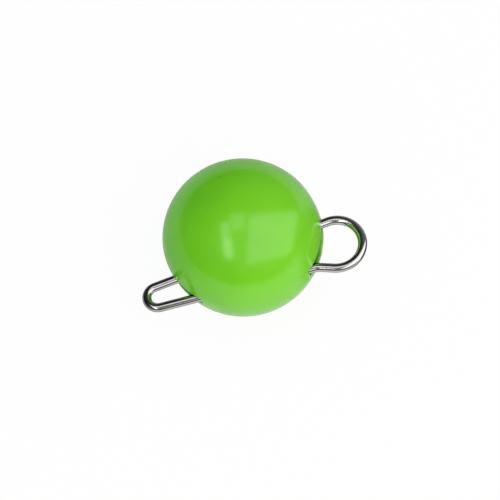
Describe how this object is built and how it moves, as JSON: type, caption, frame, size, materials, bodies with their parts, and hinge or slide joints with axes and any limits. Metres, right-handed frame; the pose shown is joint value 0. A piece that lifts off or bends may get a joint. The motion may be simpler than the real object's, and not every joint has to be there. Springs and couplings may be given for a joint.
{
  "type": "jig head",
  "caption": "Ball jig head: a painted lead ball with an off-centre slot, held on a bent spring-wire clip with a loop for the line and a loop for the hook.",
  "frame": {"origin": "middle of the line loop, in the plane of the wire", "axes": "+X out of the line loop, along the two wire legs; +Y in the plane of the wire, towards the heavy side of the ball; +Z square to the plane of the wire, up as the part lies in the picture"},
  "size_m": [0.0204, 0.0139, 0.014],
  "materials": {
    "lead": "bare dull cast lead",
    "paint": "glossy lime-green enamel",
    "wire": "bright drawn spring wire"
  },
  "bodies": {
    "clip": {"wire_clip": "wire"},
    "weight": {"lead_ball": "lead", "paint_coat": "paint"}
  },
  "joints": [
    {"name": "weight_slide", "type": "slide", "parent": "clip", "child": "weight", "axis": [-1, 0, 0], "range_m": [0, 0.018]}
  ]
}
